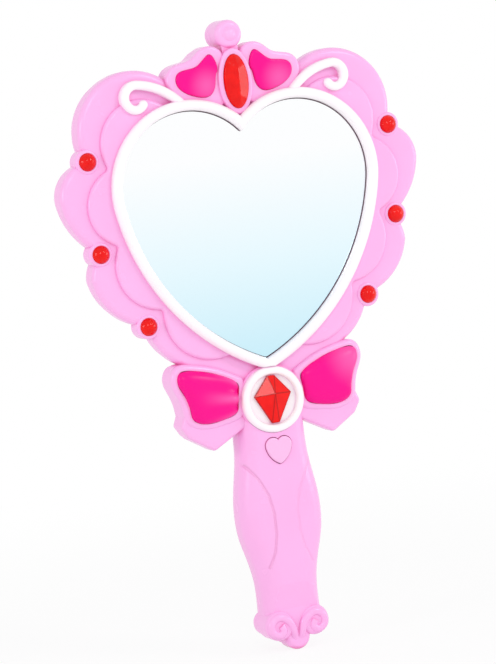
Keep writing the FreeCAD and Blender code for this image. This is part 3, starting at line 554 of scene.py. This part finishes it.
@dataclass(frozen=True)
class Silvering:
    """Looking glass with a painted reflection, tinted light blue towards the heart's tip."""

    name: str
    stops: tuple[tuple[float, Colour], ...]
    low: float
    high: float
    roughness: float = 0.02
    rough_scale: float = 30.0
    rough_swing: float = 0.03

    def make(self) -> bpy.types.Material:
        """The finished material."""
        paint = Paint.named(self.name)
        _, _, z = paint.axes()
        ends = {"Value": z, "From Min": self.low, "From Max": self.high}
        share = paint.node("ShaderNodeMapRange", inputs=ends)
        return paint.finish(
            Base_Color=paint.node("ShaderNodeValToRGB", {"stops": self.stops}, {0: share}),
            Metallic=1.0,
            Roughness=self.roughness + paint.noise(self.rough_scale) * self.rough_swing,
        )


@dataclass(frozen=True)
class Sheet:
    """Plain finish of an inner piece: a mottled colour with a fine grain."""

    name: str
    colour: Colour
    second: Colour
    roughness: float = 0.5
    metal: float = 0.0
    rough_swing: float = 0.2
    grain_scale: float = 900.0
    grain_detail: float = 3.0
    grain_height: float = 0.05 * MM
    grain_strength: float = 0.3

    def make(self) -> bpy.types.Material:
        """The finished material."""
        paint = Paint.named(self.name)
        grain = paint.noise(self.grain_scale, self.grain_detail)
        return paint.finish(
            Base_Color=paint.mix(grain, self.colour, self.second),
            Metallic=self.metal,
            Roughness=self.roughness + (grain - 0.5) * self.rough_swing,
            Normal=paint.bump(grain, self.grain_height, self.grain_strength),
        )


PINK = shade(254, 187, 240)
# Deeper pink, for random mottling and for painted shade in grooves and creases.
PINK_MOTTLE_AND_SHADE = shade(250, 150, 208)
CASE_PINK = Moulding("pink_case", PINK, PINK_MOTTLE_AND_SHADE)
GRIP_PINK = CaseMoulding("pink_front", PINK, PINK_MOTTLE_AND_SHADE)
BUTTON_PINK = Moulding("pink_button", shade(251, 194, 238), PINK_MOTTLE_AND_SHADE)
# White trim with pink painted shade in its grooves, standing in for light bounced off the pink case.
WHITE = Moulding("white_trim", shade(255, 252, 254), shade(252, 216, 240), groove_reach=1.6 * MM)
MAGENTA = shade(253, 14, 146)
# Deeper magenta, for random mottling and for painted shade in grooves.
MAGENTA_MOTTLE_AND_SHADE = shade(236, 4, 124)
# Paler magenta of the painted highlights.
MAGENTA_HIGHLIGHT = shade(255, 104, 184)


def magenta(kind: type[Inlay], name: str, middle: Spot, reach: float, **rest: float) -> Inlay:
    """Finish of one magenta inlay, with a painted highlight.

    Args:
        kind: The kind of inlay.
        name: The finish's name.
        middle: Middle of the painted highlight, as distance from the centre line and height in millimetres.
        reach: Width of the painted highlight's fading edge, in millimetres.
        **rest: Where that edge starts and how strong the painted highlight is, if not as usual.

    Returns:
        The finish.
    """
    return kind(
        name, MAGENTA, MAGENTA_MOTTLE_AND_SHADE, roughness=0.25, gloss=0.15, coat=0.0,
        pale=MAGENTA_HIGHLIGHT, middle=middle, reach=reach, **rest,
    )


# Painted highlights on the crown's hearts, where the light falls on them.
CROWN_MAGENTA = {
    Side.LEFT: magenta(Inlay, "magenta_crown_left", (11.5, 160.5), 8.5),
    Side.RIGHT: magenta(Inlay, "magenta_crown_right", (17.5, 160.5), 8.5),
}
# Painted highlights on the bow's loops: along the fold ridges on the left loop, towards the outer end on the
# right.
BOW_MAGENTA = {
    Side.LEFT: magenta(
        FoldedInlay, "magenta_bow_left", (0.0, RING_HEIGHT), 19.0, start=FOLD_START, pale_share=0.8
    ),
    Side.RIGHT: magenta(Inlay, "magenta_bow_right", (33.0, 53.5), 12.0),
}
# Deep red of painted shade, where a stone meets its seat and along the kite's facet edges.
STONE_SHADE = shade(150, 6, 8)
RED = Stone("red_stone", shade(232, 4, 4), shade(252, 20, 14), STONE_SHADE)
KITE_RED = KiteStone("red_kite", shade(240, 6, 6), shade(252, 18, 14), STONE_SHADE)
# Painted reflection in the glass: light blue at the heart's tip, white towards the top.
GLASS_REFLECTION_STOPS = ((0.0, shade(203, 239, 251)), (0.38, shade(231, 249, 255)), (0.8, shade(253, 254, 255)))
GLASS = Silvering("looking_glass", GLASS_REFLECTION_STOPS, 58 * MM, 152 * MM)
# A dark tube of painted shadow where the glass meets its bezel.
EDGE_SHADOW = Sheet("painted_edge_shadow", shade(92, 70, 82), shade(70, 50, 62))
STEEL = Sheet("bright_steel", shade(190, 190, 192), shade(165, 166, 170), 0.3, 1.0)
FOAM = Sheet("foam", shade(215, 214, 208), shade(196, 195, 188), 0.9)
BOARD = Sheet("board_green", shade(30, 110, 62), shade(22, 92, 50), 0.4)
BLACK = Sheet("black_plastic", shade(32, 32, 34), shade(44, 44, 46), 0.45)
LAMP = Sheet("lamp_clear", shade(236, 228, 220), shade(226, 216, 206), 0.12)
TRAY = Sheet("tray_white", shade(232, 230, 226), shade(222, 220, 214), 0.5)
JACKET = Sheet("cell_jacket", shade(58, 60, 66), shade(48, 50, 56), 0.3, 0.5)
CONE = Sheet("cone_sheet", shade(52, 50, 48), shade(66, 63, 60), 0.85)
RED_LEAD = Sheet("red_insulation", shade(190, 28, 24), shade(172, 20, 18), 0.4)
BLACK_LEAD = Sheet("black_insulation", shade(26, 26, 28), shade(36, 36, 38), 0.4)


class Bench:
    """Modelling steps that the sub-assemblies share; most work on the piece that was made last.

    A rib's fineness is the number of steps between two of its points and the rounding of its section.
    """

    merge_distance = 0.005 * MM
    rib_order = 3
    open_fineness = (12, 5)
    closed_fineness = (2, 1)

    @staticmethod
    def clear_selection() -> None:
        """Leave nothing selected."""
        bpy.ops.object.select_all(action="DESELECT")

    @classmethod
    def oval_blank(cls, name: str, rim: list[Vector]) -> bpy.types.Object:
        """Make a flat face with a given rim.

        Args:
            name: The piece's name.
            rim: The rim's points in order.

        Returns:
            The blank.
        """
        cls.clear_selection()
        bpy.ops.mesh.primitive_circle_add(vertices=len(rim), fill_type="NGON")
        blank = bpy.context.object
        blank.name = name
        for vertex, point in zip(blank.data.vertices, rim):
            vertex.co = point
        return blank

    @staticmethod
    def raise_steps(middle: Vector, steps: list[Triple]) -> None:
        """Build a crown on a flat blank, step by step.

        Args:
            middle: Point that each step shrinks towards.
            steps: For each step how far it comes forward, and its share of the width and of the height
                that the last step had.
        """
        bpy.ops.object.mode_set(mode="EDIT")
        bpy.ops.mesh.select_all(action="SELECT")
        for forward, wide, high in steps:
            bpy.ops.mesh.extrude_region_move(TRANSFORM_OT_translate={"value": (0, -forward, 0)})
            bpy.ops.transform.resize(value=(wide, 1, high), center_override=middle)
        bpy.ops.mesh.poke()
        bpy.ops.object.mode_set(mode="OBJECT")

    @classmethod
    def tube(cls, name: str, points: list[Vector], radius: float, closed: bool) -> bpy.types.Object:
        """Make a round rib along a line.

        Args:
            name: The piece's name.
            points: The line's points; an open line is drawn smoothly between them.
            radius: Half the rib's width.
            closed: Whether the line runs back into its start.

        Returns:
            The rib, as a mesh.
        """
        cls.clear_selection()
        bpy.ops.curve.primitive_nurbs_path_add()
        rib = bpy.context.object
        rib.name = name
        curve = rib.data
        line = curve.splines[0]
        line.points.add(len(points) - len(line.points))
        for spot, point in zip(line.points, points):
            spot.co = (*point, 1.0)
        line.order_u = cls.rib_order
        line.use_cyclic_u = closed
        line.use_endpoint_u = not closed
        curve.resolution_u, curve.bevel_resolution = cls.closed_fineness if closed else cls.open_fineness
        curve.bevel_depth = radius
        curve.use_fill_caps = not closed
        bpy.ops.object.convert(target="MESH")
        return bpy.context.object

    @classmethod
    def close_up(cls, smooth_below: float) -> None:
        """Merge doubled points, turn the faces outwards and shade them.

        Args:
            smooth_below: Angle under which an edge is shaded smooth.
        """
        bpy.ops.object.mode_set(mode="EDIT")
        bpy.ops.mesh.select_all(action="SELECT")
        bpy.ops.mesh.remove_doubles(threshold=cls.merge_distance)
        bpy.ops.mesh.normals_make_consistent(inside=False)
        bpy.ops.object.mode_set(mode="OBJECT")
        bpy.ops.object.shade_smooth_by_angle(angle=smooth_below)

    @staticmethod
    def soften(piece: bpy.types.Object, levels: int) -> None:
        """Subdivide a piece smoothly, for good."""
        smoother = piece.modifiers.new("soften", "SUBSURF")
        smoother.levels = levels
        smoother.render_levels = levels
        bpy.ops.object.modifier_apply(modifier=smoother.name)


def dress(piece: bpy.types.Object, material: bpy.types.Material) -> None:
    """Give a piece or a CAD node its material.

    Args:
        piece: The piece.
        material: The material for all of it.
    """
    if not piece.material_slots:
        piece.data.materials.append(material)
    for slot in piece.material_slots:
        slot.material = material


@cache
def material_of(finish: Any) -> bpy.types.Material:
    """The material of a finish, made only once."""
    return finish.make()


def dress_nodes(nodes: Nodes, finishes: list[tuple[Any, list[str]]]) -> None:
    """Give CAD nodes their finishes.

    Args:
        nodes: The CAD nodes by name.
        finishes: Each finish with the names of the nodes that have it.
    """
    for finish, names in finishes:
        material = material_of(finish)
        for name in names:
            dress(nodes[name], material)
            LOG.info("%s takes %s", name, material.name)


def settle(piece: bpy.types.Object, finish: Any, slot: str, *replaced: str) -> None:
    """Dress a new piece and let it ride on the case.

    Args:
        piece: The new piece.
        finish: Its finish.
        slot: Not used.
        *replaced: CAD nodes that it stands for.
    """
    dress(piece, material_of(finish))
    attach(piece, CASE_BODY)
    if replaced:
        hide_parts(*replaced)
    LOG.info("%s is in place", piece.name)


@dataclass
class Case:
    """The two shells, the button, the cell door and the rolled foot."""

    roll_radius: float = 1.7 * MM
    roll_smooth: float = math.radians(40)
    roll: tuple[Triple, ...] = (
        (0.8, 4.8, -50.0), (1.4, 6.4, -47.2), (2.0, 7.3, -44.0), (3.8, 7.6, -40.6), (7.4, 7.6, -38.7),
        (10.7, 7.6, -40.6), (11.0, 7.6, -44.2), (8.0, 7.6, -46.3), (5.6, 7.6, -44.3), (7.0, 7.6, -42.3),
    )

    def build(self) -> None:
        """Lay a rolled rib on each volute of the foot."""
        for side in Side:
            points = [Vector((side.value * x, -front, z)) * MM for x, front, z in self.roll]
            rib = Bench.tube(f"foot_roll_{side.word}", points, self.roll_radius, closed=False)
            Bench.close_up(self.roll_smooth)
            settle(rib, CASE_PINK, "pink_plastic")

    def dress(self, nodes: Nodes) -> None:
        """Finish the shells, the button, the door and the screws."""
        dress_nodes(nodes, [
            (GRIP_PINK, ["front_shell"]),
            (CASE_PINK, ["rear_shell", "battery_door"]),
            (BUTTON_PINK, ["heart_button"]),
            (STEEL, ["case_screws", "door_screw"]),
        ])


@dataclass
class LookingGlass:
    """The heart-shaped glass, its white bezel and a painted shadow line between them."""

    lobe: Spot = (21.3, 124.3)
    lobe_radius: float = 28.1
    flank_turn: float = math.radians(-10)
    tip: float = 57.8
    glass_front: float = 7.0
    # Radius of the painted shadow line, and twice its inset from the glass's edge.
    shadow_radius: float = 0.28
    shadow_smooth: float = math.radians(60)
    steps: int = 48

    def flank(self) -> Triple:
        """Centre and radius of the arc from the lobe down to the tip, in millimetres."""
        out_x, out_z = math.cos(self.flank_turn), math.sin(self.flank_turn)
        reach_x = self.lobe[0] + self.lobe_radius * out_x
        reach_z = self.lobe[1] + self.lobe_radius * out_z - self.tip
        radius = (reach_x ** 2 + reach_z ** 2) / (2 * (reach_x * out_x + reach_z * out_z))
        return reach_x - radius * out_x, reach_z + self.tip - radius * out_z, radius

    def half_heart(self, inset: float) -> list[Spot]:
        """Right half of the heart from its notch to its tip.

        Args:
            inset: How far inside the glass's edge the line runs, in millimetres.

        Returns:
            Points in millimetres.
        """
        flank_x, flank_z, flank_radius = self.flank()
        arcs = [(*self.lobe, self.lobe_radius - inset), (flank_x, flank_z, flank_radius - inset)]
        notch = math.acos(-self.lobe[0] / arcs[0][2])
        tip = -math.acos(-flank_x / arcs[1][2])
        spots = []
        for (x, z, radius), start, end in zip(arcs, (notch, self.flank_turn), (self.flank_turn, tip)):
            for step in range(self.steps):
                turn = start + (end - start) * step / self.steps
                spots.append((x + radius * math.cos(turn), z + radius * math.sin(turn)))
        return spots + [(0.0, flank_z - math.sqrt(arcs[1][2] ** 2 - flank_x ** 2))]

    def build(self) -> None:
        """Lay a painted shadow line round the foot of the bezel's inner wall."""
        right = self.half_heart(self.shadow_radius / 2)
        left = [(-x, z) for x, z in reversed(right[1:-1])]
        points = [Vector((x * MM, -self.glass_front * MM, z * MM)) for x, z in right + left]
        line = Bench.tube("glass_edge_shadow", points, self.shadow_radius * MM, closed=True)
        Bench.close_up(self.shadow_smooth)
        settle(line, EDGE_SHADOW, "foam")

    def dress(self, nodes: Nodes) -> None:
        """Finish the glass, its bezel and its pad."""
        dress_nodes(nodes, [(GLASS, ["mirror_plate"]), (WHITE, ["mirror_bezel"]), (FOAM, ["mirror_pad"])])


@dataclass
class Crown:
    """The crown's two hearts and its oval stone."""

    stone_half: Spot = (4.9, 10.0)
    stone_middle: float = 161.0
    stone_seat: float = 6.4
    stone_smooth: float = math.radians(16)
    rim_points: int = 72
    stone_steps: tuple[Triple, ...] = (
        (2.6, 1.0, 1.0), (0.5, 0.95, 0.975), (0.3, 0.93, 0.965), (1.35, 0.1, 0.78),
    )

    def build(self) -> None:
        """Cut the oval stone with a ridge down its middle."""
        middle = Vector((0, -self.stone_seat * MM, self.stone_middle * MM))
        rim = []
        for step in range(self.rim_points):
            turn = 2 * math.pi * step / self.rim_points
            half_x, half_z = self.stone_half
            rim.append(middle + Vector((half_x * math.sin(turn), 0, half_z * math.cos(turn))) * MM)
        stone = Bench.oval_blank("crown_stone", rim)
        steps = [(forward * MM, wide, high) for forward, wide, high in self.stone_steps]
        Bench.raise_steps(middle, steps)
        Bench.close_up(self.stone_smooth)
        settle(stone, RED, "red_stone", "crown_gem")

    def dress(self, nodes: Nodes) -> None:
        """Finish the hearts and the stones on the rim."""
        rim_stones = [name for name in nodes if name.startswith("rim_gem_")]
        hearts = [(CROWN_MAGENTA[side], [f"crown_heart_{side.word}"]) for side in Side]
        dress_nodes(nodes, hearts + [(RED, rim_stones)])


@dataclass
class Bow:
    """The bow's two puffed loops, its ring and its kite-shaped stone."""

    seat: float = 5.6
    loop_growth: float = 1.012
    loop: tuple[Spot, ...] = (
        (13.4, 50.6), (21.0, 54.8), (30.0, 57.3), (35.4, 57.0), (36.4, 53.2), (34.2, 48.2),
        (32.8, 43.6), (31.9, 39.3), (27.5, 37.1), (20.0, 37.6), (14.2, 39.8), (13.2, 45.0),
    )
    spots_between: int = 7
    loop_steps: tuple[Triple, ...] = (
        (2.2, 1.0, 1.0), (0.8, 0.97, 0.96), (0.7, 0.93, 0.92), (0.55, 0.88, 0.86), (0.4, 0.82, 0.8),
        (0.25, 0.74, 0.72), (0.12, 0.62, 0.62), (0.04, 0.45, 0.45),
    )
    loop_levels: int = 1
    loop_smooth: float = math.radians(60)
    fold_floor: float = 8.1

    def rim(self, side: Side) -> list[Vector]:
        """Smooth rim of one loop, through its corner points.

        Args:
            side: The loop's side.

        Returns:
            Points of the rim.
        """
        middle = sum((Vector(spot) for spot in self.loop), Vector((0, 0))) / len(self.loop)
        corners = [middle + (Vector(spot) - middle) * self.loop_growth for spot in self.loop]
        count = len(corners)
        points = []
        for place in range(count):
            before, here, after, beyond = (corners[(place + step) % count] for step in (-1, 0, 1, 2))
            for step in range(self.spots_between):
                t = step / self.spots_between
                flat = 0.5 * (
                    2 * here + (after - before) * t
                    + (2 * before - 5 * here + 4 * after - beyond) * t ** 2
                    + (3 * here - before - 3 * after + beyond) * t ** 3
                )
                points.append(Vector((side.value * flat.x, -self.seat, flat.y)) * MM)
        return points

    def fold(self, piece: bpy.types.Object, folds: Folds) -> None:
        """Press folds into a loop that fan out from the ring and fade away from it.

        Args:
            piece: The loop.
            folds: Their depth, fading and number.
        """
        for vertex in piece.data.vertices:
            if vertex.co.y > -self.fold_floor * MM:
                continue
            across, up = abs(vertex.co.x) / MM, vertex.co.z / MM - RING_HEIGHT
            fade = math.exp(-max(0.0, math.hypot(across, up) - FOLD_START) / folds.fade)
            wave = 0.5 - 0.5 * math.cos(folds.count * (math.atan2(up, across) - folds.ridge))
            vertex.co.y += folds.depth * fade * wave * MM

    def build(self) -> None:
        """Puff up the two loops."""
        steps = [(forward * MM, wide, high) for forward, wide, high in self.loop_steps]
        for side in Side:
            rim = self.rim(side)
            loop = Bench.oval_blank(f"bow_loop_{side.word}", rim)
            middle = sum(rim, Vector()) / len(rim)
            Bench.raise_steps(middle, steps)
            Bench.soften(loop, self.loop_levels)
            self.fold(loop, LOOP_FOLDS[side])
            Bench.close_up(self.loop_smooth)
            settle(loop, BOW_MAGENTA[side], "magenta_plastic", f"bow_inlay_{side.word}")

    def dress(self, nodes: Nodes) -> None:
        """Finish the ring and the kite stone."""
        dress_nodes(nodes, [(WHITE, ["gem_ring"]), (KITE_RED, ["centre_gem"])])


@dataclass
class Works:
    """Board, switch, lamp, cells and speaker inside the case."""

    def build(self) -> None:
        """The works are the CAD nodes as they are."""

    def dress(self, nodes: Nodes) -> None:
        """Finish the inner pieces."""
        dress_nodes(nodes, [
            (BOARD, ["circuit_board"]),
            (BLACK, ["switch_housing", "switch_plunger", "melody_chip"]),
            (LAMP, ["gem_lamp"]),
            (TRAY, ["battery_tray"]),
            (JACKET, ["battery_left", "battery_right"]),
            (STEEL, [
                "bridge_contact", "positive_contact", "negative_contact", "speaker_basket", "speaker_magnet",
            ]),
            (CONE, ["speaker_cone"]),
            (RED_LEAD, ["battery_lead_red", "speaker_lead_red"]),
            (BLACK_LEAD, ["battery_lead_black", "speaker_lead_black"]),
        ])


@dataclass
class Studio:
    """White floor, soft light and the camera."""

    floor_size: float = 30.0
    floor_white: float = 0.88
    floor_tones: tuple[Colour, Colour] = (shade(250, 250, 250), shade(254, 254, 254))
    floor_clouds: float = 2.0
    shadow_ends: Spot = (0.12, 0.5)
    ambient: float = 0.7
    lamps: tuple[tuple[str, float, float, Triple], ...] = (
        ("key", 2.8, 0.28, (0.75, -1.05, 0.75)),
        ("front", 1.6, 0.28, (-0.36, -1.12, 0.63)),
        ("left", 2.4, 0.4, (-1.15, -0.35, 0.35)),
        ("right", 2.6, 0.5, (1.1, -0.5, 0.06)),
    )
    target: Triple = (0.0, 0.0, 0.08)
    eye: Triple = (-0.44333, -1.06446, 0.16803)
    azimuth: float = math.radians(-22.463)
    elevation: float = math.radians(4.975)
    roll: float = math.radians(-6.646)
    focal_pixels: float = 3099.1
    picture_height: int = 664
    sensor: float = 36.0
    sight: float = 100.0

    def build(self, lowest: float) -> None:
        """Set up the stage under the object.

        Args:
            lowest: Height of the object's lowest point.
        """
        self.floor(lowest)
        self.world()
        for name, watts, size, place in self.lamps:
            self.lamp(name, watts, size, place)
        self.camera()
        bpy.context.scene.view_settings.view_transform = "Standard"

    def floor(self, lowest: float) -> None:
        """Lay a white floor that keeps a faint shadow."""
        Bench.clear_selection()
        bpy.ops.mesh.primitive_plane_add(size=self.floor_size, location=(0, 0, lowest))
        floor = bpy.context.object
        floor.name = "floor"
        paint = Paint.named("floor_white")
        x, y, _ = paint.axes()
        far = ((x ** 2.0 + y ** 2.0) ** 0.5).between(*self.shadow_ends)
        white = far * (1.0 - self.floor_white) + self.floor_white
        tone = paint.mix(paint.noise(self.floor_clouds), *self.floor_tones)
        cloth = paint.node("ShaderNodeBsdfDiffuse", inputs={"Color": tone})
        glow = paint.node("ShaderNodeEmission", inputs={"Strength": 1.0})
        inputs = {0: self.seen(paint) * white, 1: cloth, 2: glow}
        surface = paint.node("ShaderNodeMixShader", inputs=inputs)
        paint.node("ShaderNodeOutputMaterial", inputs={"Surface": surface})
        dress(floor, paint.owner)
        floor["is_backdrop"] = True

    @staticmethod
    def seen(paint: Paint) -> Wire:
        """One for rays that show the surroundings: to the camera, in a gloss or through glass."""
        kinds = ("Is Camera Ray", "Is Glossy Ray", "Is Transmission Ray")
        camera, glossy, through = (paint.node("ShaderNodeLightPath", output=kind) for kind in kinds)
        return camera.larger(glossy).larger(through)

    def world(self) -> None:
        """Light the stage evenly from all round, and show white behind it."""
        world = bpy.data.worlds.new("studio")
        bpy.context.scene.world = world
        paint = Paint(world)
        level = self.seen(paint) * (1.0 - self.ambient) + self.ambient
        sky = paint.node("ShaderNodeBackground", inputs={"Color": (1, 1, 1, 1), "Strength": level})
        paint.node("ShaderNodeOutputWorld", inputs={"Surface": sky})

    def lamp(self, name: str, watts: float, size: float, place: Triple) -> None:
        """Hang one soft lamp.

        Args:
            name: The lamp's name.
            watts: Its power.
            size: Its width and height.
            place: Where it hangs.
        """
        bpy.ops.object.light_add(type="AREA", location=place)
        lamp = bpy.context.object
        lamp.name = name
        lamp.data.size = size
        lamp.data.energy = watts
        lamp.rotation_mode = "QUATERNION"
        lamp.rotation_quaternion = (Vector(self.target) - Vector(place)).to_track_quat("-Z", "Y")

    def camera(self) -> None:
        """Put the camera where the photograph was taken from."""
        bpy.ops.object.camera_add(location=self.eye)
        camera = bpy.context.object
        level = math.cos(self.elevation)
        back = Vector((
            math.sin(self.azimuth) * level, -math.cos(self.azimuth) * level, math.sin(self.elevation)
        ))
        camera.rotation_mode = "QUATERNION"
        aim = (-back).to_track_quat("-Z", "Y")
        camera.rotation_quaternion = aim @ Quaternion((0, 0, 1), self.roll)
        camera.data.sensor_width = self.sensor
        camera.data.lens = self.sensor * self.focal_pixels / self.picture_height
        camera.data.clip_end = self.sight
        bpy.context.scene.camera = camera


def main() -> None:
    """Build and dress every sub-assembly, in order."""
    logging.basicConfig(level=logging.INFO, format="%(message)s")
    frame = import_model()
    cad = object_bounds()
    Studio().build(cad[0].z)
    for assembly in (Case(), LookingGlass(), Crown(), Bow(), Works()):
        assembly.build()
        assembly.dress(frame["nodes"])


if __name__ == "__main__":
    main()
